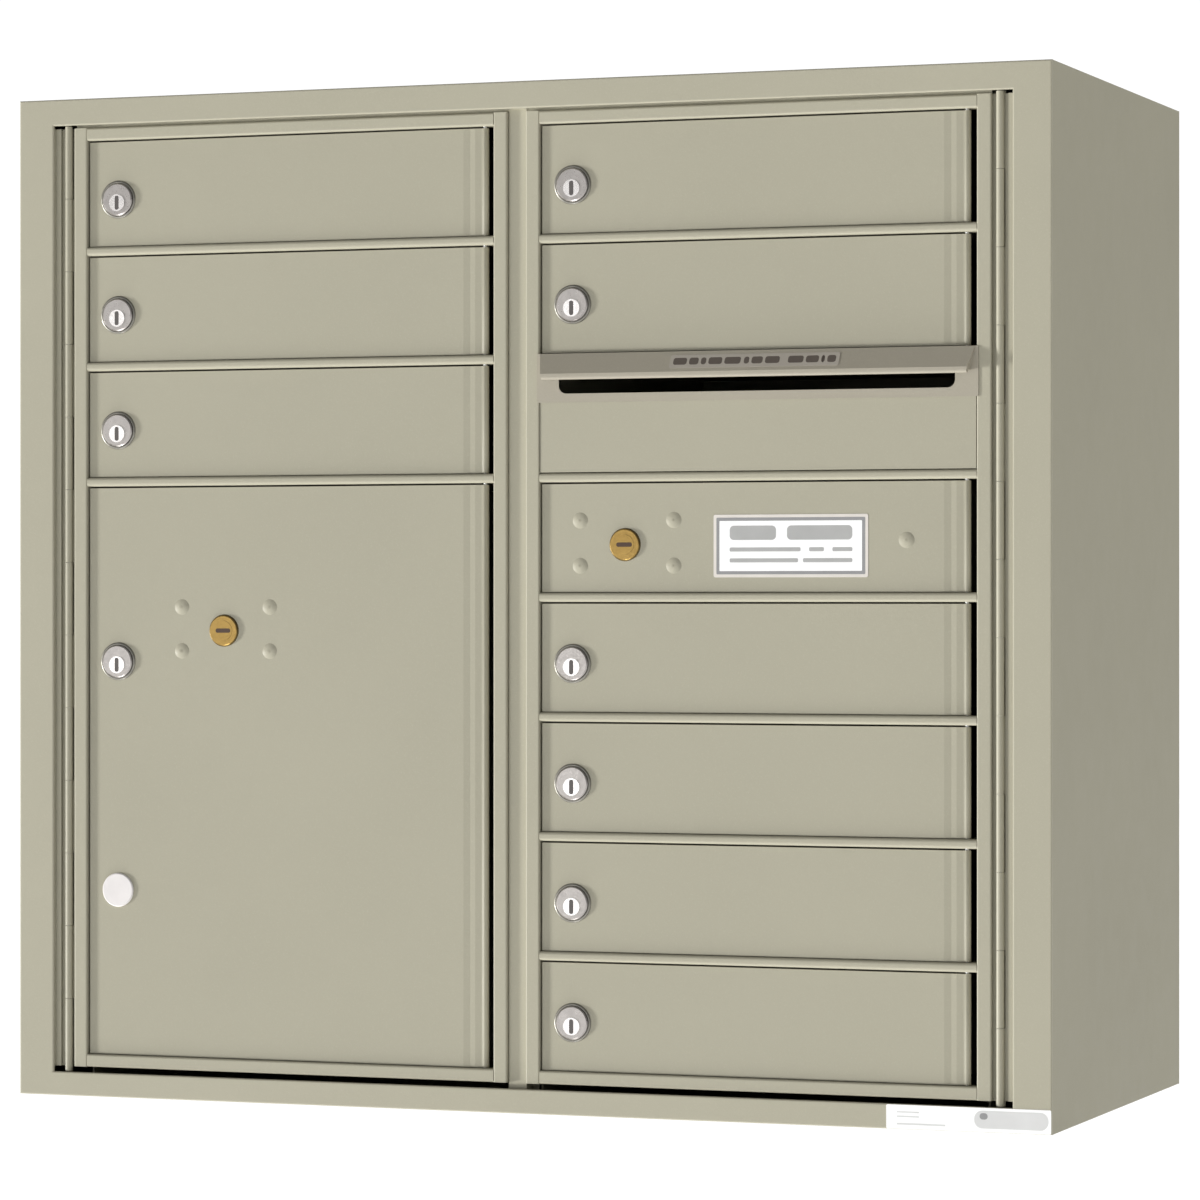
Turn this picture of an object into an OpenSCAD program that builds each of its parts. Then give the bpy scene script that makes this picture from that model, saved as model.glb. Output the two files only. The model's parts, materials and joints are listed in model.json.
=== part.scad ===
// Wall-mounted cluster mailbox unit: nine letter boxes, one parcel locker and one
// outgoing-mail slot with its collection bin, in two hinged master frames.
// Origin: centre of the back (wall) face. X to the right, Y towards the wall, Z up. Millimetres.

/* [Cabinet] */
// Depth from the front trim to the wall
unit_d = 387.5; // [360:0.5:460]
// Thickness of the cabinet sheet metal
sheet_t = 1.5; // [1:0.1:2.5]
// Width of the front trim at the two sides
side_trim_w = 29.3; // [20:0.1:40]
// Height of the front trim at the top
top_trim_h = 20.3; // [15:0.1:30]
// Thickness of the front trim
trim_t = 2; // [1.6:0.1:3]
// Radius of the trim's front edges
trim_edge_r = 1.2; // [0.5:0.1:1.5]
// Distance between the wall bolt holes, both ways
wall_bolt_spacing = 600; // [560:5:620]
// Diameter of the wall bolt holes
wall_bolt_hole_d = 9; // [6:0.5:12]

/* [Master frames] */
// Height from one row of boxes to the next
row_pitch = 88.9; // [84:0.1:100]
// Height of the bars between the rows
rail_h = 6.9; // [6.5:0.1:9]
// Height of the bars at the top and bottom of a frame
end_rail_h = 9.9; // [8:0.1:14]
// Width of a door opening
opening_w = 337.3; // [320:0.1:350]
// Width of an upright bar
stile_w = 10.9; // [9:0.1:14]
// Depth of the frame faces behind the front of the trim
frame_set = 2.5; // [1:0.1:3]
// Depth of the bars, front to back
frame_depth = 14; // [13:0.5:16]
// Space between the two frames at the middle of the unit
post_gap = 15; // [13:0.5:20]
// Space beside a frame that holds its long hinge
hinge_zone_w = 16.4; // [16:0.1:20]
// Gap above a frame
top_gap = 2.2; // [1.5:0.1:4]
// Gap below a frame
low_gap = 4.2; // [1.5:0.1:5]

/* [Frame hinges] */
// Outer diameter of the long hinge knuckles
knuckle_d = 6; // [5.6:0.1:6]
// Number of knuckles on one hinge, an odd number
knuckle_count = 13; // [5:2:25]

/* [Doors] */
// Thickness of the door skin
door_t = 2; // [1.5:0.1:2.2]
// Depth of the door face behind the frame face
door_recess = 3; // [1:0.1:3.5]
// Depth of the folded edges of a door
door_fold = 9; // [8:0.5:10]
// Gap to the left of a door and above it
door_gap = 1.3; // [1:0.1:2]
// Gap below a door
door_low_gap = 0.4; // [0.3:0.1:2]
// Diameter of the rolled barrel on the hinge edge of a door
barrel_d = 5.6; // [5:0.1:5.8]
// Distance from the hinge axis of a door to the upright beside it
barrel_inset = 8.7; // [8:0.1:9.5]

/* [Letter locks] */
// Diameter of the lock face
bezel_d = 25; // [22:0.5:26]
// Diameter of the turning plug
plug_d = 13; // [11:0.5:13]
// Distance of the plug axis below the middle of the lock face
plug_drop = 2.6; // [2:0.1:2.8]
// Length of the locking cam from the plug axis
cam_l = 30; // [28:0.5:31]

/* [Postal locks] */
// Diameter of the brass lock face
postal_d = 23; // [20:0.5:25]
// Travel of the sliding bolt for a quarter turn of the key
bolt_stroke = 9; // [8:0.5:9]

/* [Outgoing mail slot] */
// Length of the slot
slot_w = 305.6; // [280:0.1:308]
// Height of the slot
slot_h = 18; // [12:1:19]
// Distance that the rain hood stands out
hood_out = 9; // [6:0.5:12]

/* [Hidden] */
$fn = 48;

// Rows 0 to 7 run from the top down, columns are 0 for the left and 1 for the right
row_count = 8;
slot_row = 2;
collection_row = 3;
parcel_first_row = 3;
tenant_col = [0, 0, 0, 1, 1, 1, 1, 1, 1];
tenant_row = [0, 1, 2, 0, 1, 4, 5, 6, 7];
left_rail_rows = [0, 1, 2];
right_rail_rows = [0, 1, 2, 3, 4, 5, 6];
right_shelf_rows = [0, 1, 3, 4, 5, 6];

// Main sizes that follow from the driving dimensions
opening_h = row_pitch - rail_h;
frame_h = row_count * row_pitch - rail_h + 2 * end_rail_h;
unit_h = frame_h + 2 * (top_gap + top_trim_h);
low_trim_h = top_gap + top_trim_h - low_gap;
frame_inner_x = post_gap / 2;
frame_outer_x = frame_inner_x + 2 * stile_w + opening_w;
trim_inner_x = frame_outer_x + hinge_zone_w;
unit_w = 2 * (trim_inner_x + side_trim_w);

// Planes from front to back
front_y = -unit_d;
frame_y = front_y + frame_set;
face_y = frame_y + door_recess;
frame_back_y = frame_y + frame_depth;
cam_y = frame_back_y + 0.5;
cam_t = 1.5;
bolt_y = cam_y + cam_t + 0.5;
bolt_t = 1.3;
inside_y = frame_back_y + 6;

// Inner walls and shelves
inner_wall_x = 12.5;
outer_wall_x = frame_outer_x - 6;
inner_h = unit_h - 2 * sheet_t;
post_recess = 3.5;

// Frame hinges
pin_d = 3;
pin_clear = 0.05;
hinge_end_gap = 0.3;
hinge_low_z = -frame_h / 2 - low_gap + hinge_end_gap;
hinge_h = frame_h + low_gap + top_gap - 2 * hinge_end_gap;
hinge_mid_z = hinge_low_z + hinge_h / 2;
knuckle_pitch = hinge_h / knuckle_count;
knuckle_gap = 0.3;
frame_hinge_x = frame_outer_x + 5.9;
frame_hinge_y = frame_y + knuckle_d / 2;
leaf_t = 1.5;
leaf_y = frame_hinge_y + knuckle_d / 2 - leaf_t;
leaf_reach = 3.3;
leaf_strip_w = 4.3;
leaf_strip_y = frame_y + 2;

// Doors, measured from the left edge and the front face of the door's opening
hinge_off = opening_w - barrel_inset;
skin_end = hinge_off - 2.5;
crease = [[-14, 0], [-8.7, 0.5], [-4.7, 0.3], [0, 0.7]];
barrel_off = barrel_d / 2 + 0.4;
fold_start = 1;
door_pin_y = face_y + barrel_off;
pin_seat = 3;

// Letter locks
lock_inset = 25.5;
lock_drop = 4.8;
bezel_t = 2.6;
bezel_bevel = 0.9;
shell_d = 21;
shell_l = 10;
nut_af = 27;
nut_t = 3.5;
plug_proud = 0.5;
keyway_w = 2.6;
keyway_l = 10.4;
keyway_deep = 7;
cam_w = 7;
screw_head_d = 7;
screw_head_t = 0.9;

// Postal locks and their bolts
postal_t = 2;
postal_shell_d = 19.5;
postal_plug_d = 15;
postal_slot_w = 3;
postal_slot_l = 12;
crank_w = 7;
crank_pin_d = 3;
crank_pin_l = 2.7;
bolt_low = -3.8;
bolt_high = 13.3;
bolt_rest = 3.5;
bolt_tail = 12;
keeper_gap = 0.4;
keeper_t = 2;
keeper_w = 14;
rivet_d = 12;
rivet_h = 1.2;
rivet_dx = 36.8;
rivet_dz = 16.8;
rivet_shift_x = 1.4;
rivet_shift_z = 1.2;
parcel_postal_off = 115;
parcel_postal_rise = 19.1;
collection_postal_off = 67;
collection_postal_rise = -5.5;
collection_rivet_off = 284;
collection_rivet_rise = -3;

// Cap over the spare lock hole of the parcel door
cap_d = 26;
cap_t = 1.6;
cap_stem_d = 19;
cap_drop = 2.9;

// Outgoing slot, heights measured from the middle of its row
slot_low = 17.8;
slot_corner_r = 6;
surround_t = 0.8;
surround_low = 11.3;
surround_over = 1.5;
hood_top = opening_h / 2 + rail_h - 0.3;
lip_d = 4.4;
lip_z = slot_low + 12.3;
hood_t = 1.5;
hood_top_inset = 1;
hood_low_inset = 5;
panel_gap = 0.5;
panel_recess = 0.8;

function row_z(i) = frame_h / 2 - end_rail_h - opening_h / 2 - i * row_pitch;
function rail_z(i) = row_z(i) - row_pitch / 2;
function opening_x(col) = col == 0 ? -(frame_outer_x - stile_w) : frame_inner_x + stile_w;
function lock_x(col) = opening_x(col) + lock_inset;
function tenant_z(i) = row_z(tenant_row[i - 1]);
parcel_h = (row_count - parcel_first_row - 1) * row_pitch + opening_h;
parcel_z = (row_z(parcel_first_row) + row_z(row_count - 1)) / 2;
parcel_lock_z = row_z(4) - lock_drop;
parcel_postal_z = row_z(4) + parcel_postal_rise;
parcel_cap_z = row_z(6) - cap_drop;
collection_postal_z = row_z(collection_row) + collection_postal_rise;
hood_face_y = frame_y - surround_t;

// ---- Shared shapes ----

// Bar section, its two front corners rounded, front face on y = 0
module bar_section(w, t, r) {
    translate([-w / 2, r]) square([w, t - r]);
    translate([-w / 2 + r, 0]) square([w - 2 * r, t]);
    intersection() {
        translate([-w / 2, 0]) square([w, t]);
        for (side = [-1, 1]) translate([side * (w / 2 - r), r]) circle(r);
    }
}

// Upright bar
module upright(w, t, r, h) {
    linear_extrude(height = h, center = true) bar_section(w, t, r);
}

// Level bar along X
module level_bar(h, t, r, length) {
    rotate([0, 90, 0]) linear_extrude(height = length, center = true) bar_section(h, t, r);
}

// Box given by its low and high corners
module span(low, high) {
    translate(low) cube(high - low);
}

// Turns a shape drawn on Z so that it runs back into the door, with its own +Y pointing down
module facing_door(x, z) {
    translate([x, face_y, z]) rotate([-90, 0, 0]) children();
}

// Keyhole outline with round ends, its length along Y
module keyway(w, l) {
    square([w, l - w], center = true);
    for (end = [-1, 1]) translate([0, end * (l - w) / 2]) circle(d = w);
}

// ---- Cabinet ----

module back_panel() {
    color("#8b8976") difference() {
        span([-unit_w / 2, -sheet_t, -unit_h / 2], [unit_w / 2, 0, unit_h / 2]);
        for (sx = [-1, 1], sz = [-1, 1])
            translate([sx * wall_bolt_spacing / 2, 1, sz * wall_bolt_spacing / 2])
                rotate([90, 0, 0]) cylinder(d = wall_bolt_hole_d, h = sheet_t + 2);
    }
}

module end_panel(z_low) {
    color("#8b8976") span([-unit_w / 2 + sheet_t, front_y + trim_t, z_low],
        [unit_w / 2 - sheet_t, -sheet_t, z_low + sheet_t]);
}

module side_panel(x_low) {
    color("#94927e") span([x_low, front_y + trim_t, -unit_h / 2], [x_low + sheet_t, -sheet_t, unit_h / 2]);
}

// One side of the mitred front trim, cut from a bar with narrow facets along its edges
module trim_side(side) {
    middle_x = side * (unit_w + 2 * trim_inner_x) / 4;
    intersection() {
        translate([middle_x, front_y, 0]) upright(side_trim_w, trim_t, trim_edge_r, unit_h, $fn = 12);
        trim_mitre(side, 0);
    }
}

module trim_end(side) {
    trim_h = side > 0 ? top_trim_h : low_trim_h;
    intersection() {
        translate([0, front_y, side * (unit_h - trim_h) / 2])
            level_bar(trim_h, trim_t, trim_edge_r, unit_w, $fn = 12);
        trim_mitre(side, 1);
    }
}

// Wedge that ends a trim bar along the line from the outer corner to the inner corner
module trim_mitre(side, level) {
    ox = unit_w / 2;
    oz = unit_h / 2;
    ix = trim_inner_x;
    top_z = oz - top_trim_h;
    low_z = low_trim_h - oz;
    end_z = side > 0 ? top_z : low_z;
    upright_face = [[side * ox, oz], [side * ix, top_z], [side * ix, low_z], [side * ox, -oz]];
    level_face = [[-ox, side * oz], [-ix, end_z], [ix, end_z], [ox, side * oz]];
    translate([0, front_y + trim_t + 1, 0]) rotate([90, 0, 0]) linear_extrude(height = trim_t + 2)
        polygon(level == 0 ? upright_face : level_face);
}

module front_trim() {
    color("#b6b29e") for (side = [-1, 1]) {
        trim_side(side);
        trim_end(side);
    }
}

module liner_walls() {
    color("#7d7b69") for (side = [-1, 1], x = [inner_wall_x, outer_wall_x - sheet_t])
        mirror([side < 0 ? 1 : 0, 0, 0])
            span([x, inside_y, -inner_h / 2], [x + sheet_t, -sheet_t, inner_h / 2]);
}

module shelf(col, z) {
    x_low = col == 0 ? -(outer_wall_x - sheet_t) : inner_wall_x + sheet_t;
    shelf_w = outer_wall_x - inner_wall_x - 2 * sheet_t;
    span([x_low, inside_y, z - sheet_t / 2], [x_low + shelf_w, -sheet_t, z + sheet_t / 2]);
}

module shelves() {
    color("#7d7b69") {
        for (i = left_rail_rows) shelf(0, rail_z(i));
        for (i = right_shelf_rows) shelf(1, rail_z(i));
    }
}

module centre_post() {
    nose_x = frame_inner_x - 0.5;
    foot_x = inner_wall_x - 1;
    foot_y = bolt_y + 1;
    color("#a49c88") {
        span([-nose_x, frame_y + post_recess, -inner_h / 2], [nose_x, foot_y + sheet_t, inner_h / 2]);
        span([-foot_x, foot_y, -inner_h / 2], [foot_x, foot_y + sheet_t, inner_h / 2]);
    }
}

// ---- Long hinges of the master frames ----

// Middle height of knuckle k
function knuckle_z(k) = hinge_low_z + (k + 0.5) * knuckle_pitch;

// One row of knuckles with the tongues that join them to their leaf, dir = 1 outwards, -1 inwards
module knuckle_row(first, dir) {
    length = knuckle_pitch - knuckle_gap;
    for (k = [first : 2 : knuckle_count - 1])
        translate([frame_hinge_x, frame_hinge_y, knuckle_z(k)]) {
            cylinder(d = knuckle_d, h = length, center = true);
            translate([dir > 0 ? 0 : -leaf_reach - 0.1, leaf_y - frame_hinge_y, -length / 2])
                cube([leaf_reach + 0.1, leaf_t, length]);
        }
}

module hinge_bore() {
    translate([frame_hinge_x, frame_hinge_y, hinge_mid_z])
        cylinder(d = pin_d + 2 * pin_clear, h = hinge_h + 2, center = true);
}

module fixed_leaf() {
    difference() {
        union() {
            knuckle_row(0, 1);
            span([frame_hinge_x + leaf_reach, leaf_y, -frame_h / 2],
                [trim_inner_x + 14, leaf_y + leaf_t, frame_h / 2]);
            span([trim_inner_x - leaf_strip_w, leaf_strip_y, -frame_h / 2],
                [trim_inner_x + 14, leaf_y + leaf_t, frame_h / 2]);
            span([trim_inner_x, front_y + trim_t, -frame_h / 2],
                [trim_inner_x + 14, leaf_y + leaf_t, frame_h / 2]);
        }
        hinge_bore();
    }
}

module moving_leaf() {
    difference() {
        union() {
            knuckle_row(1, -1);
            span([frame_outer_x, leaf_y, -frame_h / 2],
                [frame_hinge_x - leaf_reach, leaf_y + leaf_t, frame_h / 2]);
            span([frame_outer_x, leaf_y, -frame_h / 2],
                [frame_outer_x + leaf_t, frame_back_y - 1, frame_h / 2]);
        }
        hinge_bore();
    }
}

module fixed_hinge_leaves() {
    color("#aaa792") for (side = [0, 1]) mirror([side, 0, 0]) fixed_leaf();
}

module left_moving_leaf() {
    color("#b0ad99") mirror([1, 0, 0]) moving_leaf();
}

module right_moving_leaf() {
    color("#b0ad99") moving_leaf();
}

module frame_hinge_pins() {
    color("#9b9b9b") for (side = [-1, 1])
        translate([side * frame_hinge_x, frame_hinge_y, hinge_mid_z])
            cylinder(d = pin_d, h = hinge_h - 0.4, center = true);
}

// ---- Master frames ----

module stiles(col) {
    side = col == 0 ? -1 : 1;
    for (x = [frame_inner_x + stile_w / 2, frame_outer_x - stile_w / 2])
        translate([side * x, frame_y, 0]) upright(stile_w, frame_depth, 1.2, frame_h);
}

module rails(col, rows) {
    middle_x = opening_x(col) + opening_w / 2;
    difference() {
        union() {
            for (i = rows)
                translate([middle_x, frame_y, rail_z(i)]) level_bar(rail_h, frame_depth, 2.6, opening_w);
            for (side = [-1, 1])
                translate([middle_x, frame_y, side * (frame_h - end_rail_h) / 2])
                    level_bar(end_rail_h, frame_depth, 1.8, opening_w);
        }
        translate([opening_x(col) + hinge_off, door_pin_y, 0])
            cylinder(d = pin_d + 2 * pin_clear, h = frame_h - 2 * (end_rail_h - pin_seat), center = true);
    }
}

// Hinge pin of one door, seated in the bars above and below it
module door_pin(col, z, clear_h) {
    translate([opening_x(col) + hinge_off, door_pin_y, z])
        cylinder(d = pin_d, h = clear_h + 2 * pin_seat - 0.2, center = true);
}

module left_stiles() {
    color("#b6b29e") stiles(0);
}

module right_stiles() {
    color("#b6b29e") stiles(1);
}

module left_rails() {
    color("#c0bdab") rails(0, left_rail_rows);
}

module right_rails() {
    color("#c0bdab") rails(1, right_rail_rows);
}

module left_door_pins() {
    color("#9b9b9b") {
        for (i = left_rail_rows) door_pin(0, row_z(i), opening_h);
        door_pin(0, parcel_z, parcel_h);
    }
}

module right_door_pins() {
    color("#9b9b9b") for (i = concat([0, 1, collection_row], [4, 5, 6, 7])) door_pin(1, row_z(i), opening_h);
}

// ---- Doors ----

// Section of a door seen from above: folded left edge, skin with a shallow crease, rolled barrel
module door_section() {
    front = [for (p = crease) [skin_end + p[0], p[1]]];
    back = [for (i = [len(crease) - 1 : -1 : 0]) [skin_end + crease[i][0], crease[i][1] + door_t]];
    difference() {
        union() {
            polygon(concat([[door_gap, 0]], front, back,
                [[door_gap + door_t, door_t], [door_gap + door_t, door_fold], [door_gap, door_fold]]));
            translate([skin_end - 1, 0.7]) square([hinge_off - skin_end + 1, door_t]);
            translate([hinge_off, barrel_off]) circle(d = barrel_d);
        }
        translate([hinge_off, barrel_off]) circle(d = pin_d + 2 * pin_clear);
    }
}

module door_blank(col, z, clear_h) {
    h = clear_h - door_gap - door_low_gap;
    translate([opening_x(col), face_y, z - (door_gap - door_low_gap) / 2]) {
        linear_extrude(height = h, center = true) door_section();
        for (side = [-1, 1])
            translate([door_gap, fold_start, side * (h - door_t) / 2 - door_t / 2])
                cube([skin_end - 6 - door_gap, door_fold - fold_start, door_t]);
    }
}

module lock_hole(x, z, d) {
    facing_door(x, z) translate([0, 0, -1]) cylinder(d = d, h = door_t + 3);
}

// Low domed head of a painted fastener on the door face
module rivet(x, z) {
    dome_r = (pow(rivet_d / 2, 2) + pow(rivet_h, 2)) / (2 * rivet_h);
    facing_door(x, z) intersection() {
        translate([0, 0, dome_r - rivet_h]) sphere(dome_r, $fn = 64);
        translate([0, 0, -rivet_h]) cylinder(d = rivet_d + 1, h = rivet_h + 1);
    }
}

// The four rivets round a postal lock, their pattern a little above and to the right of the lock
module lock_rivets(x, z) {
    for (sx = [-1, 1], sz = [-1, 1])
        rivet(x + rivet_shift_x + sx * rivet_dx, z + rivet_shift_z + sz * rivet_dz);
}

// Two keepers that guide a sliding bolt above and below, x from the left edge of the opening
module bolt_keepers(col, x, z) {
    for (edge = [z + bolt_high + keeper_gap, z + bolt_low - keeper_gap - keeper_t])
        span([opening_x(col) + x, face_y + door_t - 0.5, edge],
            [opening_x(col) + x + keeper_w, bolt_y + bolt_t, edge + keeper_t]);
}

module tenant_door(i) {
    col = tenant_col[i - 1];
    color("#aca793") difference() {
        door_blank(col, tenant_z(i), opening_h);
        lock_hole(lock_x(col), tenant_z(i) - lock_drop, shell_d + 0.4);
    }
}

module parcel_door() {
    postal_x = opening_x(0) + parcel_postal_off;
    color("#aca793") {
        difference() {
            door_blank(0, parcel_z, parcel_h);
            lock_hole(lock_x(0), parcel_lock_z, shell_d + 0.4);
            lock_hole(lock_x(0), parcel_cap_z, cap_stem_d + 0.4);
            lock_hole(postal_x, parcel_postal_z, postal_shell_d + 0.4);
        }
        lock_rivets(postal_x, parcel_postal_z);
        for (x = [45, 88]) bolt_keepers(0, x, parcel_postal_z);
    }
}

module collection_door() {
    postal_x = opening_x(1) + collection_postal_off;
    color("#aca793") {
        difference() {
            door_blank(1, row_z(collection_row), opening_h);
            lock_hole(postal_x, collection_postal_z, postal_shell_d + 0.4);
        }
        lock_rivets(postal_x, collection_postal_z);
        rivet(opening_x(1) + collection_rivet_off, row_z(collection_row) + collection_rivet_rise);
        bolt_keepers(1, 24, collection_postal_z);
    }
}

// ---- Letter locks ----

// Fixed part: face, barrel through the door and the nut behind the door
module lock_shell(x, z) {
    color("silver") facing_door(x, z) {
        difference() {
            union() {
                translate([0, 0, -bezel_t]) cylinder(d1 = bezel_d - 2 * bezel_bevel, d2 = bezel_d, h = bezel_bevel);
                translate([0, 0, -bezel_t + bezel_bevel]) cylinder(d = bezel_d, h = bezel_t - bezel_bevel);
                cylinder(d = shell_d, h = shell_l);
            }
            translate([0, plug_drop, -bezel_t - 1]) cylinder(d = plug_d + 2 * pin_clear, h = shell_l + bezel_t + 2);
        }
        translate([0, 0, door_t]) difference() {
            cylinder(d = nut_af / cos(30), h = nut_t, $fn = 6);
            translate([0, 0, -1]) cylinder(d = shell_d + 0.1, h = nut_t + 2);
        }
    }
}

// Turning part: plug with its keyway, the cam and the cam screw
module lock_plug(x, z) {
    plug_back = cam_y + cam_t - face_y;
    plug_front = -bezel_t - plug_proud;
    color("#dcdad6") facing_door(x, z) translate([0, plug_drop, 0]) difference() {
        union() {
            translate([0, 0, plug_front]) cylinder(d = plug_d, h = plug_back - plug_front);
            translate([-cam_w / 2, -cam_l, plug_back - cam_t]) cube([cam_w, cam_l, cam_t]);
            translate([0, 0, plug_back]) cylinder(d = screw_head_d, h = screw_head_t);
        }
        translate([0, 0, plug_front - 1]) linear_extrude(height = keyway_deep + 1) keyway(keyway_w, keyway_l);
    }
}

module tenant_lock(i) {
    lock_shell(lock_x(tenant_col[i - 1]), tenant_z(i) - lock_drop);
}

module tenant_plug(i) {
    lock_plug(lock_x(tenant_col[i - 1]), tenant_z(i) - lock_drop);
}

module parcel_lock() {
    lock_shell(lock_x(0), parcel_lock_z);
}

module parcel_plug() {
    lock_plug(lock_x(0), parcel_lock_z);
}

module parcel_hole_cap() {
    color("#d2cfc6") facing_door(lock_x(0), parcel_cap_z) {
        translate([0, 0, -cap_t]) cylinder(d1 = cap_d - 1.6, d2 = cap_d, h = 0.8);
        translate([0, 0, -cap_t + 0.8]) cylinder(d = cap_d, h = cap_t - 0.8);
        cylinder(d = cap_stem_d, h = door_t + 3);
    }
}

// ---- Postal locks and their sliding bolts ----

module postal_lock(x, z) {
    color("#c89b3c") facing_door(x, z) difference() {
        union() {
            translate([0, 0, -postal_t]) cylinder(d1 = postal_d - 1.2, d2 = postal_d, h = 0.6);
            translate([0, 0, -postal_t + 0.6]) cylinder(d = postal_d, h = postal_t - 0.6);
            cylinder(d = postal_shell_d, h = shell_l);
        }
        translate([0, 0, -postal_t - 1]) cylinder(d = postal_plug_d + 2 * pin_clear, h = shell_l + postal_t + 2);
    }
}

// Plug with a level key slot; its crank stands up and its pin drives the bolt
module postal_plug(x, z) {
    plug_back = cam_y + cam_t - face_y;
    plug_front = -postal_t - 0.2;
    color("#d8ab4a") facing_door(x, z) difference() {
        union() {
            translate([0, 0, plug_front]) cylinder(d = postal_plug_d, h = plug_back - plug_front);
            translate([-crank_w / 2, -bolt_stroke, plug_back - cam_t]) cube([crank_w, bolt_stroke, cam_t]);
            translate([0, -bolt_stroke, plug_back - cam_t]) cylinder(d = crank_w, h = cam_t);
            translate([0, -bolt_stroke, plug_back]) cylinder(d = crank_pin_d, h = crank_pin_l);
        }
        translate([0, 0, plug_front - 1]) linear_extrude(height = keyway_deep + 1)
            rotate(90) keyway(postal_slot_w, postal_slot_l);
    }
}

// Flat bar from the crank to the left edge of the door, with a tall window for the crank pin
module bolt(col, lock_off, z) {
    window_l = crank_pin_d / 2 + 0.21 * bolt_stroke + keeper_gap;
    window_r = crank_pin_d / 2 + keeper_gap;
    x = opening_x(col);
    color("#a8a8a2") difference() {
        span([x + bolt_rest, bolt_y, z + bolt_low], [x + lock_off + bolt_tail, bolt_y + bolt_t, z + bolt_high]);
        span([x + lock_off - window_l, bolt_y - 1, z + bolt_low + 1.8],
            [x + lock_off + window_r, bolt_y + bolt_t + 1, z + bolt_high - 1.8]);
    }
}

module parcel_postal_lock() {
    postal_lock(opening_x(0) + parcel_postal_off, parcel_postal_z);
}

module parcel_postal_plug() {
    postal_plug(opening_x(0) + parcel_postal_off, parcel_postal_z);
}

module parcel_bolt() {
    bolt(0, parcel_postal_off, parcel_postal_z);
}

module collection_postal_lock() {
    postal_lock(opening_x(1) + collection_postal_off, collection_postal_z);
}

module collection_postal_plug() {
    postal_plug(opening_x(1) + collection_postal_off, collection_postal_z);
}

module collection_bolt() {
    bolt(1, collection_postal_off, collection_postal_z);
}

// ---- Outgoing mail slot, drawn with x from the left edge of its opening ----

module slot_place() {
    translate([opening_x(1), 0, row_z(slot_row)]) children();
}

// Slot outline with round lower corners, on the XZ plane through thickness t from y
module slot_cut(y, t, grow) {
    w = slot_w + 2 * grow;
    low = slot_low - grow;
    high = slot_low + slot_h + grow;
    r = slot_corner_r;
    translate([opening_w / 2, y + t, 0]) rotate([90, 0, 0]) linear_extrude(height = t) {
        translate([-w / 2, low + r]) square([w, high - low - r]);
        translate([-w / 2 + r, low]) square([w - 2 * r, r + 1]);
        for (side = [-1, 1]) translate([side * (w / 2 - r), low + r]) circle(r);
    }
}

module slot_panel() {
    plate_y = frame_y + panel_recess;
    half = opening_h / 2 - panel_gap;
    color("#aca793") slot_place() {
        difference() {
            span([panel_gap, plate_y, -half], [opening_w - panel_gap, plate_y + door_t, half]);
            slot_cut(plate_y - 1, door_t + 2, 1.5);
        }
        for (x = [panel_gap, opening_w - panel_gap - door_t])
            span([x, plate_y, -half], [x + door_t, frame_back_y, half]);
    }
}

// Trapezoid block that bounds the hood, its sides leaning inwards towards the lip
module hood_bounds(inset, low) {
    top = hood_top - inset;
    rotate([90, 0, 0]) linear_extrude(height = unit_d + 2 * hood_out)
        polygon([[hood_top_inset + inset, top], [hood_low_inset + inset, low],
            [opening_w - hood_low_inset - inset, low], [opening_w - hood_top_inset - inset, top]]);
}

// Wedge section along X from the surround out to the lip
module hood_wedge(inset) {
    out_y = hood_face_y - hood_out;
    rotate([90, 0, 90]) linear_extrude(height = opening_w)
        polygon([[hood_face_y + inset, hood_top - inset], [out_y + inset, lip_z + lip_d / 2 - inset],
            [out_y + inset, lip_z - inset], [hood_face_y + inset, lip_z - inset]]);
}

module slot_hood() {
    color("#a29c8a") slot_place() {
        difference() {
            span([-surround_over, hood_face_y, surround_low], [opening_w + surround_over, frame_y, hood_top]);
            slot_cut(hood_face_y - 1, surround_t + 2, 0);
        }
        difference() {
            intersection() {
                hood_wedge(0);
                hood_bounds(0, lip_z);
            }
            intersection() {
                hood_wedge(hood_t);
                hood_bounds(hood_t, lip_z - 5);
            }
        }
        translate([opening_w / 2, hood_face_y - hood_out + lip_d / 2, lip_z])
            rotate([0, 90, 0]) cylinder(d = lip_d, h = opening_w - 2 * hood_low_inset, center = true);
    }
}

// Bent plate behind the slot that leads the letters down into the bin
module slot_chute() {
    flange_y = frame_y + panel_recess + door_t;
    color("#8f8d7c") slot_place() translate([12, 0, 0]) rotate([90, 0, 90])
        linear_extrude(height = opening_w - 24)
            polygon([[flange_y, 4], [flange_y, 15.5], [flange_y + 1.5, 15.5], [flange_y + 32, -14],
                [flange_y + 31, -15.1], [flange_y + 1.5, 13.4], [flange_y + 1.5, 4]]);
}

back_panel();
end_panel(unit_h / 2 - sheet_t);  // top_panel
end_panel(-unit_h / 2);  // bottom_panel
side_panel(-unit_w / 2);  // left_side_panel
side_panel(unit_w / 2 - sheet_t);  // right_side_panel
front_trim();
liner_walls();
shelves();
centre_post();
fixed_hinge_leaves();
frame_hinge_pins();
left_stiles();
left_rails();
left_moving_leaf();
left_door_pins();
right_stiles();
right_rails();
right_moving_leaf();
right_door_pins();
slot_panel();
slot_hood();
slot_chute();
tenant_door(1);  // tenant_door_1
tenant_door(2);  // tenant_door_2
tenant_door(3);  // tenant_door_3
tenant_door(4);  // tenant_door_4
tenant_door(5);  // tenant_door_5
tenant_door(6);  // tenant_door_6
tenant_door(7);  // tenant_door_7
tenant_door(8);  // tenant_door_8
tenant_door(9);  // tenant_door_9
parcel_door();
collection_door();
tenant_lock(1);  // tenant_lock_1
tenant_lock(2);  // tenant_lock_2
tenant_lock(3);  // tenant_lock_3
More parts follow.
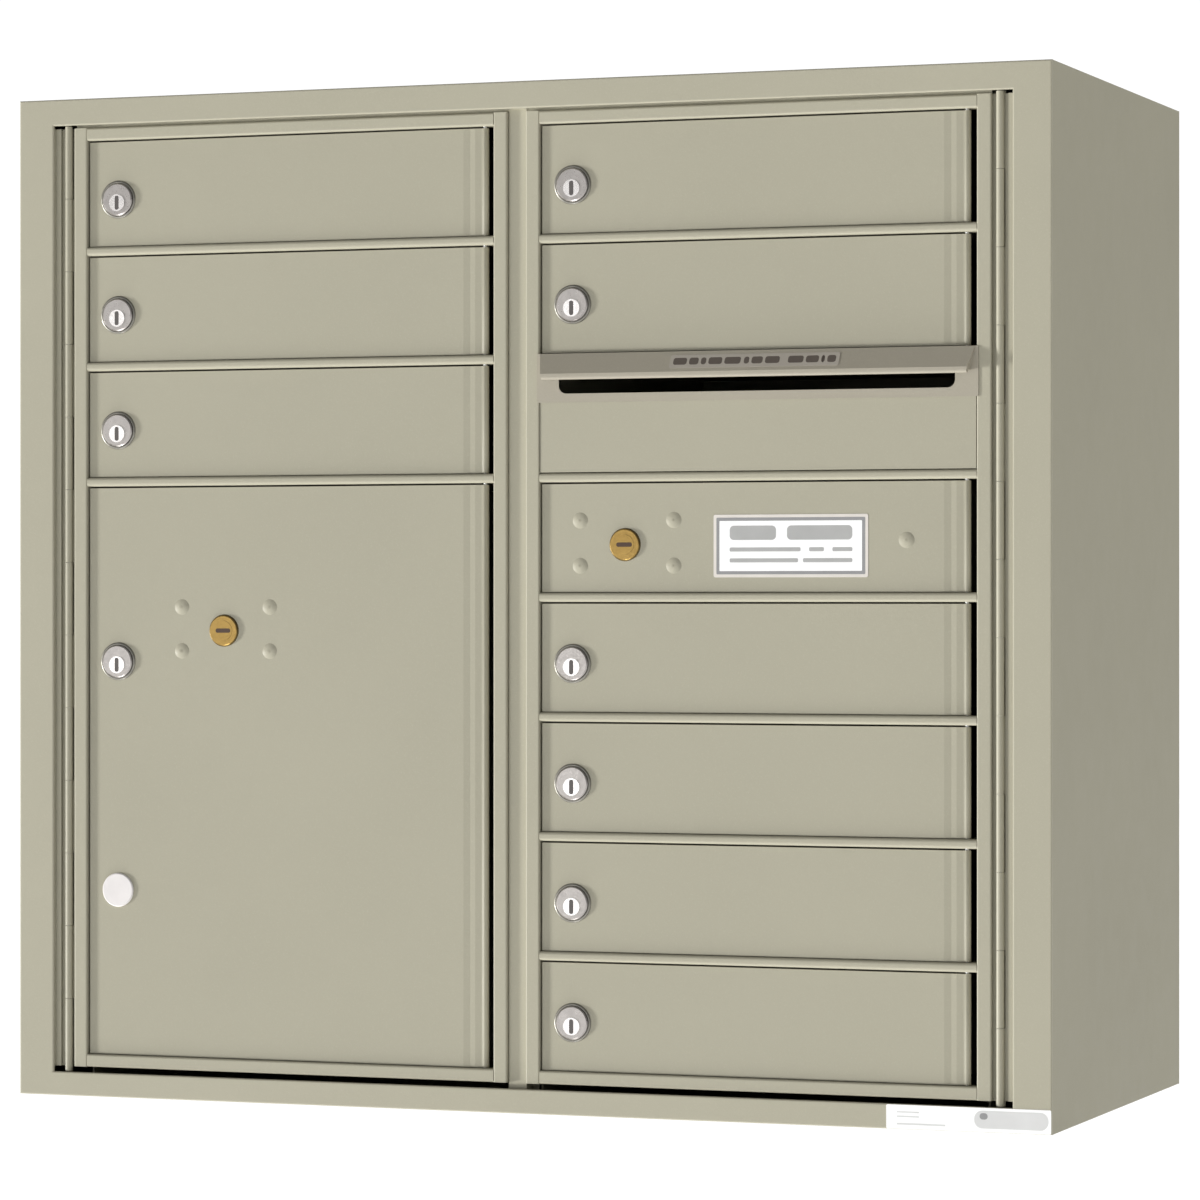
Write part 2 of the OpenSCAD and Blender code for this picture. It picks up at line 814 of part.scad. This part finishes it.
tenant_lock(4);  // tenant_lock_4
tenant_lock(5);  // tenant_lock_5
tenant_lock(6);  // tenant_lock_6
tenant_lock(7);  // tenant_lock_7
tenant_lock(8);  // tenant_lock_8
tenant_lock(9);  // tenant_lock_9
parcel_lock();
tenant_plug(1);  // tenant_plug_1
tenant_plug(2);  // tenant_plug_2
tenant_plug(3);  // tenant_plug_3
tenant_plug(4);  // tenant_plug_4
tenant_plug(5);  // tenant_plug_5
tenant_plug(6);  // tenant_plug_6
tenant_plug(7);  // tenant_plug_7
tenant_plug(8);  // tenant_plug_8
tenant_plug(9);  // tenant_plug_9
parcel_plug();
parcel_postal_lock();
parcel_postal_plug();
collection_postal_lock();
collection_postal_plug();
parcel_bolt();
collection_bolt();
parcel_hole_cap();
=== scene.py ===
import json
import math

import bpy
import bmesh
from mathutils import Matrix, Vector


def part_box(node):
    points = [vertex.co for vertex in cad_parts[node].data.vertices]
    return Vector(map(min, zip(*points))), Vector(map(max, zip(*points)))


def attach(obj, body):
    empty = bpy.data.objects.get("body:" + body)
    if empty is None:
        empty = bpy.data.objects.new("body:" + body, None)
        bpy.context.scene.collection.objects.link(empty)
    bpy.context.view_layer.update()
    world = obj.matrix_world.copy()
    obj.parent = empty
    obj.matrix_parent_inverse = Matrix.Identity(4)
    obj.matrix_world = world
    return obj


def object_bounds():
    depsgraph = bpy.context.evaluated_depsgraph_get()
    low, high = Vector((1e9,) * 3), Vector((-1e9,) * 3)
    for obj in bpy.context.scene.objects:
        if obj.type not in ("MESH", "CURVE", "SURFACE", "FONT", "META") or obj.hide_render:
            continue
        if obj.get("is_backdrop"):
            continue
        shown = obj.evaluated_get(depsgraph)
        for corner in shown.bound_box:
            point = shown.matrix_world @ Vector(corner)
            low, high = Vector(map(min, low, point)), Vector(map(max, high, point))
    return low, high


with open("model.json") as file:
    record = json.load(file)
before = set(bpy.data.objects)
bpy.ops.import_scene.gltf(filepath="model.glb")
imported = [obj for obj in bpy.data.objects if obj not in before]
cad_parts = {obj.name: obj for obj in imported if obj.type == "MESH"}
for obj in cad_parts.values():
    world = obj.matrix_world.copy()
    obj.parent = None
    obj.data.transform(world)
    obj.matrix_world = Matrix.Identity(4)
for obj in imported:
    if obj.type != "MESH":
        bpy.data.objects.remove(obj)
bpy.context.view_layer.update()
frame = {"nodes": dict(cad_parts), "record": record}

NODES = frame["nodes"]
RECORD = frame["record"]
MM = 0.001

# ---------------------------------------------------------------- shader helpers


def new_material(name):
    """A material with its shader and the object coordinates that every pattern uses."""
    material = bpy.data.materials.new(name)
    material.use_nodes = True
    tree = material.node_tree
    shader = tree.nodes["Principled BSDF"]
    coords = tree.nodes.new("ShaderNodeTexCoord")
    return material, tree, shader, coords.outputs["Object"]


def noise(tree, coords, scale, detail=2.0, roughness=0.5, stretch=None):
    """Noise pattern; stretch is a scale per axis for brushed or drawn metal."""
    if stretch is not None:
        mapping = tree.nodes.new("ShaderNodeMapping")
        mapping.inputs["Scale"].default_value = stretch
        tree.links.new(coords, mapping.inputs["Vector"])
        coords = mapping.outputs["Vector"]
    node = tree.nodes.new("ShaderNodeTexNoise")
    node.inputs["Scale"].default_value = scale
    node.inputs["Detail"].default_value = detail
    node.inputs["Roughness"].default_value = roughness
    tree.links.new(coords, node.inputs["Vector"])
    return node.outputs["Fac"]


def spread(tree, value, low, high, start=0.35, end=0.65):
    """Stretches a noise value from start..end to low..high."""
    node = tree.nodes.new("ShaderNodeMapRange")
    node.inputs["From Min"].default_value = start
    node.inputs["From Max"].default_value = end
    node.inputs["To Min"].default_value = low
    node.inputs["To Max"].default_value = high
    tree.links.new(value, node.inputs["Value"])
    return node.outputs["Result"]


def mix_colour(tree, factor, first, second):
    """Colour between first and second, each a colour or a socket."""
    node = tree.nodes.new("ShaderNodeMix")
    node.data_type = "RGBA"
    tree.links.new(factor, node.inputs["Factor"])
    for socket, colour in (("A", first), ("B", second)):
        slot = next(s for s in node.inputs if s.name == socket and s.type == "RGBA")
        if isinstance(colour, bpy.types.NodeSocket):
            tree.links.new(colour, slot)
        else:
            slot.default_value = (*colour, 1.0)
    return next(s for s in node.outputs if s.type == "RGBA")


def bump(tree, shader, height, strength, distance, under=None):
    """Bump on the shader, on top of an earlier bump if there is one."""
    node = tree.nodes.new("ShaderNodeBump")
    node.inputs["Strength"].default_value = strength
    node.inputs["Distance"].default_value = distance
    tree.links.new(height, node.inputs["Height"])
    if under is not None:
        tree.links.new(under, node.inputs["Normal"])
    tree.links.new(node.outputs["Normal"], shader.inputs["Normal"])
    return node.outputs["Normal"]


def tint(colour, factor):
    """The colour made lighter or darker."""
    return tuple(min(1.0, channel * factor) for channel in colour)


# ------------------------------------------------------------------- materials

# Noise scales of the patterns, in cells per metre
CLOUD_SCALE = 5.0
GLOSS_SCALE = 40.0
PEEL_SCALE = 420.0
SPECK_SCALE = 900.0
FINE_PEEL_SCALE = 1400.0
WEAR_SCALE = 160.0
HAIRLINE_SCALE = 700.0
FLOW_SCALE = 60.0
GRAIN_SCALE = 1500.0
FLOOR_PATCH_SCALE = 1.5


def powder_coat(name, colour, gloss_rough=0.42, specular=0.25):
    """Satin powder coat: cloudy tone, fine orange peel, slightly uneven gloss."""
    material, tree, shader, coords = new_material(name)
    clouds = spread(tree, noise(tree, coords, CLOUD_SCALE, detail=3.0), 0.0, 1.0, 0.3, 0.7)
    tone = mix_colour(tree, clouds, tint(colour, 0.975), tint(colour, 1.02))
    specks = spread(tree, noise(tree, coords, SPECK_SCALE), 0.0, 1.0, 0.55, 0.75)
    tree.links.new(mix_colour(tree, specks, tone, tint(colour, 1.06)), shader.inputs["Base Color"])
    gloss = spread(tree, noise(tree, coords, GLOSS_SCALE), gloss_rough - 0.03, gloss_rough + 0.04)
    tree.links.new(gloss, shader.inputs["Roughness"])
    peel = bump(tree, shader, noise(tree, coords, PEEL_SCALE, detail=1.0), 0.12, 0.0004)
    bump(tree, shader, noise(tree, coords, FINE_PEEL_SCALE, detail=1.0), 0.05, 0.0002, under=peel)
    shader.inputs["Specular IOR Level"].default_value = specular
    return material


def plated_metal(name, colour, rough, stretch=(1.0, 1.0, 1.0), scratch=0.04):
    """Plated or bare metal: uneven gloss and hairline scratches."""
    material, tree, shader, coords = new_material(name)
    shader.inputs["Metallic"].default_value = 1.0
    wear = spread(tree, noise(tree, coords, WEAR_SCALE, detail=3.0), 0.0, 1.0)
    worn_colour = mix_colour(tree, wear, tint(colour, 0.93), tint(colour, 1.04))
    tree.links.new(worn_colour, shader.inputs["Base Color"])
    lines = noise(tree, coords, HAIRLINE_SCALE, detail=2.0, stretch=stretch)
    tree.links.new(spread(tree, lines, rough * 0.8, rough * 1.35), shader.inputs["Roughness"])
    bump(tree, shader, lines, scratch, 0.0001)
    return material


def moulded_plastic(name, colour, rough):
    """Moulded plastic: a faint flow pattern and a fine grain."""
    material, tree, shader, coords = new_material(name)
    flow = spread(tree, noise(tree, coords, FLOW_SCALE, detail=2.0), 0.0, 1.0)
    flow_colour = mix_colour(tree, flow, tint(colour, 0.97), tint(colour, 1.02))
    tree.links.new(flow_colour, shader.inputs["Base Color"])
    grain = noise(tree, coords, GRAIN_SCALE, detail=1.0)
    tree.links.new(spread(tree, grain, rough - 0.04, rough + 0.04), shader.inputs["Roughness"])
    bump(tree, shader, grain, 0.05, 0.0001)
    return material


PAINT = (0.375, 0.356, 0.274)
# Hood paint: the door paint made darker, as painted shade on the hood's upward-facing slope
HOOD_PAINT_WITH_PAINTED_SHADE = (0.36, 0.331, 0.266)

MATERIALS = {
    "frame_paint": powder_coat("frame_powder_coat", tint(PAINT, 1.04)),
    "door_paint": powder_coat("door_powder_coat", PAINT, 0.38),
    "shell_paint": powder_coat("shell_powder_coat", tint(PAINT, 0.98), 0.55, 0.12),
    "inner_paint": powder_coat("inner_powder_coat", tint(PAINT, 0.8), 0.55),
    "plated_steel": plated_metal("zinc_plate", (0.62, 0.62, 0.60), 0.34, (1.0, 1.0, 0.05), 0.08),
    "lock_chrome": plated_metal("lock_satin_chrome", (0.42, 0.395, 0.375), 0.34),
    "lock_brass": plated_metal("lock_worn_brass", (0.36, 0.235, 0.075), 0.36, scratch=0.08),
    "cap_plastic": moulded_plastic("cap_moulded_plastic", (0.72, 0.69, 0.675), 0.42),
}
POLISHED_CHROME = plated_metal("lock_polished_chrome", (0.80, 0.77, 0.75), 0.22)
# Collar of the chrome locks: a real dished ring, its dark tone partly painted shade round the bezel
COLLAR_CHROME_PAINTED_SHADE = plated_metal("lock_collar_painted_shade", (0.26, 0.25, 0.22), 0.40)
# Collar of the brass postal locks: a dark ring that is painted shadow round the lock
BRASS_COLLAR_PAINTED_SHADE = plated_metal("brass_collar_painted_shade", (0.16, 0.125, 0.06), 0.40)
KEYWAY_DARK = moulded_plastic("keyway_shadow", (0.085, 0.075, 0.070), 0.6)
KEYWAY_BROWN = moulded_plastic("brass_keyway_shadow", (0.055, 0.026, 0.012), 0.6)
# Centre post coat: the same paint made lighter, painted light that lifts the shade of the recessed post
POST_COAT_WITH_PAINTED_LIGHT = powder_coat("post_coat_with_painted_light", tint(PAINT, 1.2))
# Darker coat of the hood: painted shade
HOOD_COAT_WITH_PAINTED_SHADE = powder_coat("hood_coat_with_painted_shade", HOOD_PAINT_WITH_PAINTED_SHADE, 0.45)
LABEL_WHITE = moulded_plastic("label_white_film", (0.90, 0.90, 0.89), 0.32)
LABEL_EDGE = moulded_plastic("label_pale_edge", (0.66, 0.62, 0.57), 0.32)
LABEL_CLEAR = moulded_plastic("label_tinted_film", (0.42, 0.385, 0.33), 0.22)
INK_GREY = moulded_plastic("label_grey_ink", (0.26, 0.26, 0.26), 0.5)
INK_MID = moulded_plastic("label_mid_ink", (0.38, 0.38, 0.37), 0.5)
INK_PALE = moulded_plastic("label_pale_ink", (0.62, 0.62, 0.61), 0.5)
INK_BROWN = moulded_plastic("label_brown_ink", (0.11, 0.09, 0.075), 0.5)


def set_material(node_name, material):
    """Gives a CAD node one material."""
    mesh = NODES[node_name].data
    mesh.materials.clear()
    mesh.materials.append(material)


for sub_part in RECORD["subparts"]:
    set_material(sub_part["node"], MATERIALS[sub_part["material_slot"]])
for node_name in NODES:
    if node_name.startswith("tenant_plug") or node_name == "parcel_plug":
        set_material(node_name, POLISHED_CHROME)
# The hood node, its lip and the slot surround included, takes the darker hood coat: painted shade
set_material("slot_hood", HOOD_COAT_WITH_PAINTED_SHADE)
# The centre post takes the lighter coat: painted light
set_material("centre_post", POST_COAT_WITH_PAINTED_LIGHT)

# ---------------------------------------------------------------- rounded edges


def round_edges(node_name, width, segments=2, angle=35.0):
    """Rounds the sharp edges of a CAD node with modifiers, so they catch the light."""
    node = NODES[node_name]
    weld = node.modifiers.new("weld", "WELD")
    weld.merge_threshold = 0.00001
    bevel = node.modifiers.new("rounded_edges", "BEVEL")
    bevel.width = width
    bevel.segments = segments
    bevel.limit_method = "ANGLE"
    bevel.angle_limit = math.radians(angle)
    bevel.use_clamp_overlap = True


DOOR_EDGE = 0.5 * MM
PANEL_EDGE = 0.4 * MM
SQUARE_TO_AXIS = 0.99999


def keep_flat(node_name):
    """Shades faces that are square to an axis flat, so curved faces beside them leave no streaks."""
    for polygon in NODES[node_name].data.polygons:
        if max(abs(part) for part in polygon.normal) > SQUARE_TO_AXIS:
            polygon.use_smooth = False


for node_name in NODES:
    if node_name.startswith("tenant_door") or node_name in ("parcel_door", "collection_door"):
        keep_flat(node_name)
        round_edges(node_name, DOOR_EDGE)
    if node_name.endswith("_panel") and node_name != "back_panel":
        keep_flat(node_name)
        round_edges(node_name, PANEL_EDGE)

# ------------------------------------------------------------------ mesh helpers

# Depth of the frame faces behind the trim, and of the door faces behind the frames, in millimetres
FRAME_SET = 2.5
DOOR_RECESS = 3.0

FRONT_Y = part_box("front_trim")[0][1]
FRAME_Y = FRONT_Y + FRAME_SET * MM
FACE_Y = FRAME_Y + DOOR_RECESS * MM


def add_piece(name, mesh, body, materials):
    """Links a new piece and lets it ride on a body."""
    for material in materials:
        mesh.materials.append(material)
    piece = bpy.data.objects.new(name, mesh)
    bpy.context.scene.collection.objects.link(piece)
    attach(piece, body)
    return piece


def rounded_outline(x0, z0, x1, z1, radius, steps=6):
    """Corner points of a rectangle with round corners, in XZ."""
    corners = ((x1 - radius, z1 - radius, 0), (x0 + radius, z1 - radius, 1),
               (x0 + radius, z0 + radius, 2), (x1 - radius, z0 + radius, 3))
    points = []
    for centre_x, centre_z, quarter in corners:
        for step in range(steps + 1):
            turn = math.radians(90.0 * (quarter + step / steps))
            points.append((centre_x + radius * math.cos(turn), centre_z + radius * math.sin(turn)))
    return points


def add_slab(bm, outline, place, low, high, material_index):
    """Adds a thin closed slab from depth low to high; place puts (x, z, depth) in space."""
    back = [bm.verts.new(place(x, z, low)) for x, z in outline]
    face = [bm.verts.new(place(x, z, high)) for x, z in outline]
    faces = [bm.faces.new(face), bm.faces.new(back[::-1])]
    for index in range(len(outline)):
        after = (index + 1) % len(outline)
        faces.append(bm.faces.new((back[index], back[after], face[after], face[index])))
    for one in faces:
        one.material_index = material_index


def label_piece(name, body, place, slabs, materials):
    """Label made of thin slabs: (x0, z0, x1, z1, radius, low, high, material index), in millimetres."""
    bm = bmesh.new()
    for x0, z0, x1, z1, radius, low, high, material_index in slabs:
        outline = rounded_outline(x0, z0, x1, z1, radius)
        add_slab(bm, outline, place, low, high, material_index)
    bmesh.ops.recalc_face_normals(bm, faces=bm.faces)
    mesh = bpy.data.meshes.new(name)
    bm.to_mesh(mesh)
    bm.free()
    return add_piece(name, mesh, body, materials)


def revolved_ring(name, centre, profile, body, material, steps=64):
    """Ring round a level axis through centre; profile holds (radius, height above the door face)."""
    bm = bmesh.new()
    rings = []
    for step in range(steps):
        turn = 2.0 * math.pi * step / steps
        ring = []
        for radius, height in profile:
            x = centre[0] + radius * MM * math.cos(turn)
            z = centre[2] + radius * MM * math.sin(turn)
            ring.append(bm.verts.new((x, centre[1] - height * MM, z)))
        rings.append(ring)
    for step in range(steps):
        here = rings[step]
        after = rings[(step + 1) % steps]
        for index in range(len(profile) - 1):
            face = bm.faces.new((here[index], here[index + 1], after[index + 1], after[index]))
            face.smooth = True
    bmesh.ops.recalc_face_normals(bm, faces=bm.faces)
    mesh = bpy.data.meshes.new(name)
    bm.to_mesh(mesh)
    bm.free()
    return add_piece(name, mesh, body, [material])


# ------------------------------------------------- folded edge of the trim in the top gap

# Height of the gap over the frames, and the section of the strip as
# (depth behind the frame face, height above the frame), in millimetres
TOP_GAP = 2.2
FOLD_SECTION = ((-0.5, TOP_GAP + 0.2), (-0.5, TOP_GAP + 1.5), (5.0, TOP_GAP + 1.5),
                (5.0, 0.3), (4.0, 0.3), (4.0, TOP_GAP + 0.2))


def add_trim_fold():
    """Folded strip on the back of the top trim, seen in the gap over the frames."""
    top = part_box("left_stiles")[1][2]
    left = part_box("left_stiles")[0][0] + 0.5 * MM
    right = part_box("right_stiles")[1][0] - 0.5 * MM
    bm = bmesh.new()
    ends = [[bm.verts.new((x, FRAME_Y + depth * MM, top + height * MM)) for depth, height in FOLD_SECTION]
            for x in (left, right)]
    count = len(FOLD_SECTION)
    for index in range(count):
        after = (index + 1) % count
        bm.faces.new((ends[0][index], ends[0][after], ends[1][after], ends[1][index]))
    bm.faces.new(ends[0][::-1])
    bm.faces.new(ends[1])
    bmesh.ops.recalc_face_normals(bm, faces=bm.faces)
    mesh = bpy.data.meshes.new("trim_fold")
    bm.to_mesh(mesh)
    bm.free()
    add_piece("trim_fold", mesh, "cabinet", [MATERIALS["frame_paint"]])


# ------------------------------------------------------------- collars of the locks

COLLAR_PROFILE = ((11.0, 0.05), (12.4, 0.25), (12.7, 0.9), (13.3, 1.15),
                  (14.0, 0.95), (14.5, 0.45), (14.6, 0.0))
POSTAL_COLLAR_PROFILE = ((10.0, 0.05), (11.3, 0.2), (11.6, 0.6), (11.9, 0.7), (12.2, 0.3), (12.3, 0.0))


def box_middle(node_name):
    """Middle of a node's box."""
    low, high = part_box(node_name)
    return [(low[axis] + high[axis]) / 2.0 for axis in range(3)]


def add_collars():
    """Dished collars round the ten chrome locks and the two brass postal locks; their dark coats are
    painted shade round each lock.
    """
    locks = {f"tenant_lock_{i}": f"letter_box_door_{i}" for i in range(1, 10)}
    locks["parcel_lock"] = "parcel_locker_door"
    for lock, body in locks.items():
        middle = box_middle(lock)
        centre = (middle[0], FACE_Y, middle[2])
        collar = revolved_ring(lock + "_collar", centre, COLLAR_PROFILE, body, COLLAR_CHROME_PAINTED_SHADE)
    postal_locks = {"parcel_postal_lock": "parcel_locker_door",
                    "collection_postal_lock": "collection_bin_door"}
    for lock, body in postal_locks.items():
        middle = box_middle(lock)
        centre = (middle[0], FACE_Y, middle[2])
        collar = revolved_ring(lock + "_collar", centre, POSTAL_COLLAR_PROFILE, body, BRASS_COLLAR_PAINTED_SHADE)


def keyway_core(name, centre, width, height, sink, body, material):
    """Dark core that fills a key slot, its face sink mm behind the plug face, or in front if negative."""
    bm = bmesh.new()

    def place(x, z, depth):
        return (centre[0] + x * MM, centre[1] + (sink - depth) * MM, centre[2] + z * MM)

    corner_r = min(width, height) * 0.45
    outline = rounded_outline(-width / 2, -height / 2, width / 2, height / 2, corner_r)
    add_slab(bm, outline, place, -1.0, 0.0, 0)
    bmesh.ops.recalc_face_normals(bm, faces=bm.faces)
    mesh = bpy.data.meshes.new(name)
    bm.to_mesh(mesh)
    bm.free()
    return add_piece(name, mesh, body, [material])


# Cores as (width, height, height of the middle above the plug's lowest point), in millimetres
LETTER_CORE = (3.4, 10.8, 6.5)
POSTAL_CORE = (12.3, 3.3, 7.5)
CORE_SINK = -0.05


def add_keyways():
    """Dark cores in the upright slots of the letter locks and the level slots of the postal locks."""
    plugs = {f"tenant_plug_{i}": f"letter_box_key_plug_{i}" for i in range(1, 10)}
    plugs["parcel_plug"] = "parcel_key_plug"
    for plug, body in plugs.items():
        low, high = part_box(plug)
        width, height, middle = LETTER_CORE
        centre = ((low[0] + high[0]) / 2.0, low[1], low[2] + middle * MM)
        core = keyway_core(plug + "_keyway", centre, width, height, CORE_SINK, body, KEYWAY_DARK)
    for plug in ("parcel_postal", "collection_postal"):
        low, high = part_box(plug + "_plug")
        width, height, middle = POSTAL_CORE
        centre = ((low[0] + high[0]) / 2.0, low[1], low[2] + middle * MM)
        body = plug + "_key_plug"
        core = keyway_core(plug + "_keyway", centre, width, height, CORE_SINK, body, KEYWAY_BROWN)


# ------------------------------------------------------------------------- labels

# Heights of a label's film and of the ink on it, in millimetres
FILM = 0.25
INK = 0.30
INK_STEP = 0.05


def on_face(face_y):
    """Placing function for a label on a plane that faces the front."""
    def place(x, z, depth):
        return (x * MM, face_y - depth * MM, z * MM)
    return place


def bars(x0, x1, rows, material_index, low=FILM, high=INK):
    """Printed bars; a row is (middle height, bar height, spans), a span (start, end) in parts of x0..x1."""
    slabs = []
    for middle, height, spans in rows:
        for start, end in spans:
            left = x0 + (x1 - x0) * start
            right = x0 + (x1 - x0) * end
            slabs.append((left, middle - height / 2, right, middle + height / 2, height * 0.3,
                          low, high, material_index))
    return slabs


def collection_label():
    """White label with a pale edge, a dark line and three rows of plain bars."""
    x0, z0, x1, z1 = 154.7, 14.6, 273.3, 60.6
    slabs = [(x0, z0, x1, z1, 1.5, 0.0, FILM, 0),
             (x0 + 2.2, z0 + 2.2, x1 - 2.2, z1 - 2.2, 0.8, FILM, INK, 1),
             (x0 + 4.6, z0 + 4.6, x1 - 4.6, z1 - 4.6, 0.5, INK, INK + INK_STEP, 2)]
    rows = ((z0 + 32.6, 10.5, ((0.0, 0.38), (0.47, 1.0))),
            (z0 + 20.4, 3.0, ((0.0, 0.58), (0.65, 0.77), (0.84, 1.0))),
            (z0 + 12.4, 3.0, ((0.0, 0.56), (0.60, 1.0))))
    slabs += bars(x0 + 12.5, x1 - 12.0, rows, 3, INK + INK_STEP, INK + 2 * INK_STEP)
    label_piece("collection_label", "collection_bin_door", on_face(FACE_Y), slabs,
                [LABEL_EDGE, INK_GREY, LABEL_WHITE, INK_MID])


def serial_label():
    """White film over the right end of the bottom trim, with pale bars and an oval."""
    low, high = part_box("front_trim")
    z0 = low[2] / MM + 0.4
    x1 = high[0] / MM - 0.6
    x0 = x1 - 123.0
    z1 = z0 + 17.4
    slabs = [(x0, z0, x1, z1, 1.0, 0.0, FILM, 0),
             (x0 + 66.0, z0 + 2.6, x1 - 2.0, z1 - 2.0, 6.0, FILM, INK, 1),
             (x0 + 70.0, z0 + 9.0, x0 + 76.0, z0 + 13.6, 2.2, INK, INK + INK_STEP, 2)]
    rows = ((z0 + 12.2, 1.0, ((0.0, 0.32),)),
            (z0 + 9.0, 1.0, ((0.0, 0.32),)),
            (z0 + 3.6, 1.2, ((0.0, 0.7),)))
    slabs += bars(x0 + 8.0, x0 + 60.0, rows, 1)
    label_piece("serial_label", "cabinet", on_face(FRONT_Y), slabs,
                [LABEL_WHITE, INK_PALE, INK_GREY])


# Thickness of the surround under the hood, and height of the hood's sloping face, in millimetres
SURROUND_T = 0.8
HOOD_DROP = 15.3


def hood_label():
    """Tinted strip on the sloping face of the hood, with one row of short bars."""
    low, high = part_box("slot_hood")
    top = (high[2] / MM, FRAME_Y / MM - SURROUND_T)
    lip = (high[2] / MM - HOOD_DROP, low[1] / MM)
    length = math.hypot(top[0] - lip[0], top[1] - lip[1])
    down = ((lip[0] - top[0]) / length, (lip[1] - top[1]) / length)

    def place(x, along, depth):
        """A point along mm below the top edge of the sloping face, depth mm in front of it."""
        z = top[0] + down[0] * along - down[1] * depth
        y = top[1] + down[1] * along + down[0] * depth
        return (x * MM, y * MM, z * MM)

    x0, x1 = 123.7, 254.1
    slabs = [(x0, 3.4, x1, 14.8, 1.5, 0.0, FILM, 0)]
    spans = ((0.02, 0.10), (0.115, 0.17), (0.185, 0.215), (0.23, 0.31), (0.325, 0.42), (0.44, 0.47),
             (0.485, 0.55), (0.565, 0.65), (0.70, 0.79), (0.805, 0.88), (0.895, 0.915), (0.93, 0.98))
    slabs += bars(x0, x1, ((9.0, 6.0, spans),), 1)
    label_piece("hood_label", "right_master", place, slabs, [LABEL_CLEAR, INK_BROWN])


add_trim_fold()
add_collars()
add_keyways()
collection_label()
serial_label()
hood_label()

# ------------------------------------------------------- camera, lights and floor


def aim(thing, target):
    """Turns a light or camera towards a point."""
    direction = Vector(target) - thing.location
    thing.rotation_euler = direction.to_track_quat("-Z", "Y").to_euler()


CAMERA_PLACE = (1.2927, FRAME_Y - 3.2931, -0.0020)
CAMERA_YAW = 20.42
CAMERA_LENS = 142.38


def add_camera():
    """Level camera to the right of the unit, at its middle height."""
    data = bpy.data.cameras.new("camera")
    data.lens = CAMERA_LENS
    data.sensor_width = 36.0
    data.clip_end = 100.0
    camera = bpy.data.objects.new("camera", data)
    bpy.context.scene.collection.objects.link(camera)
    camera.location = CAMERA_PLACE
    camera.rotation_euler = (math.radians(90.0), 0.0, math.radians(CAMERA_YAW))
    bpy.context.scene.camera = camera


def area_light(name, location, target, width, height, power):
    """Softbox of the given size."""
    data = bpy.data.lights.new(name, "AREA")
    data.shape = "RECTANGLE"
    data.size = width
    data.size_y = height
    data.energy = power
    light = bpy.data.objects.new(name, data)
    bpy.context.scene.collection.objects.link(light)
    light.location = location
    aim(light, target)
    return light


FLOOR_HALF = 40.0
FLOOR_DROP = 1.5
FLOOR_COLOURS = ((0.93, 0.93, 0.93), (0.95, 0.95, 0.95))


def add_floor():
    """Plain pale floor, well below the hanging unit."""
    mesh = bpy.data.meshes.new("floor")
    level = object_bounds()[0][2] - FLOOR_DROP
    corners = [(FLOOR_HALF * sx, FLOOR_HALF * sy, level) for sx, sy in ((-1, -1), (1, -1), (1, 1), (-1, 1))]
    mesh.from_pydata(corners, [], [(0, 1, 2, 3)])
    floor = bpy.data.objects.new("floor", mesh)
    bpy.context.scene.collection.objects.link(floor)
    material, tree, shader, coords = new_material("floor_pale")
    patches = spread(tree, noise(tree, coords, FLOOR_PATCH_SCALE), 0.0, 1.0)
    tree.links.new(mix_colour(tree, patches, *FLOOR_COLOURS), shader.inputs["Base Color"])
    shader.inputs["Roughness"].default_value = 0.9
    mesh.materials.append(material)
    floor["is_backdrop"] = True
    return floor


def add_world():
    """Soft studio surround: white behind the unit, much dimmer as a light source."""
    world = bpy.data.worlds.new("studio")
    bpy.context.scene.world = world
    world.use_nodes = True
    tree = world.node_tree
    background = tree.nodes["Background"]
    path = tree.nodes.new("ShaderNodeLightPath")
    level = tree.nodes.new("ShaderNodeMapRange")
    level.inputs["To Min"].default_value = WORLD_LIGHT
    level.inputs["To Max"].default_value = WORLD_SEEN
    tree.links.new(path.outputs["Is Camera Ray"], level.inputs["Value"])
    tree.links.new(level.outputs["Result"], background.inputs["Strength"])
    background.inputs["Color"].default_value = (1.0, 1.0, 1.0, 1.0)


def sun(name, direction, strength, angle):
    """Even light that comes from a direction, with soft edges of the given angle in degrees."""
    data = bpy.data.lights.new(name, "SUN")
    data.energy = strength
    data.angle = math.radians(angle)
    light = bpy.data.objects.new(name, data)
    bpy.context.scene.collection.objects.link(light)
    light.location = direction
    aim(light, (0.0, 0.0, 0.0))
    return light


def floor_wash(floor):
    """Light from above for the floor and the top panel only; the white floor lights the unit from below."""
    light = sun("floor_wash", (0.0, 0.0, 1.0), FLOOR_WASH, 20.0)
    receivers = bpy.data.collections.new("lit_by_floor_wash")
    receivers.objects.link(floor)
    receivers.objects.link(NODES["top_panel"])
    light.light_linking.receiver_collection = receivers


def low_lights(floor):
    """Key light from the left and a softer one from below, both nearly along the front.

    Both come from below the floor, so the floor lets them pass.
    """
    passing = bpy.data.collections.new("floor_passes_light")
    passing.objects.link(floor)
    passing.collection_objects[0].light_linking.link_state = "EXCLUDE"
    key = sun("key_left", (-0.94, -0.30, -0.20), KEY_LEFT, 7.0)
    low = sun("low_grazing", (-0.15, -0.22, -0.96), LOW_GRAZING, 22.0)
    for light in (key, low):
        light.light_linking.blocker_collection = passing


# Strength of the lights; the surround is dimmer as a light than as a background
WORLD_LIGHT = 0.26
WORLD_SEEN = 1.05
FLOOR_WASH = 3.0
KEY_LEFT = 3.8
LOW_GRAZING = 1.05
SIDE_FILL = 22.0
LOCK_CARD = 10.0

add_camera()
studio_floor = add_floor()
floor_wash(studio_floor)
low_lights(studio_floor)
add_world()
area_light("side_fill", (4.0, 0.6, 0.2), (0.412, -0.19, 0.0), 2.5, 2.5, SIDE_FILL)
area_light("lock_card", (-1.35, FRAME_Y - 3.4, 0.0), (0.0, FRAME_Y, 0.0), 1.8, 1.2, LOCK_CARD)
bpy.context.scene.view_settings.view_transform = "Standard"
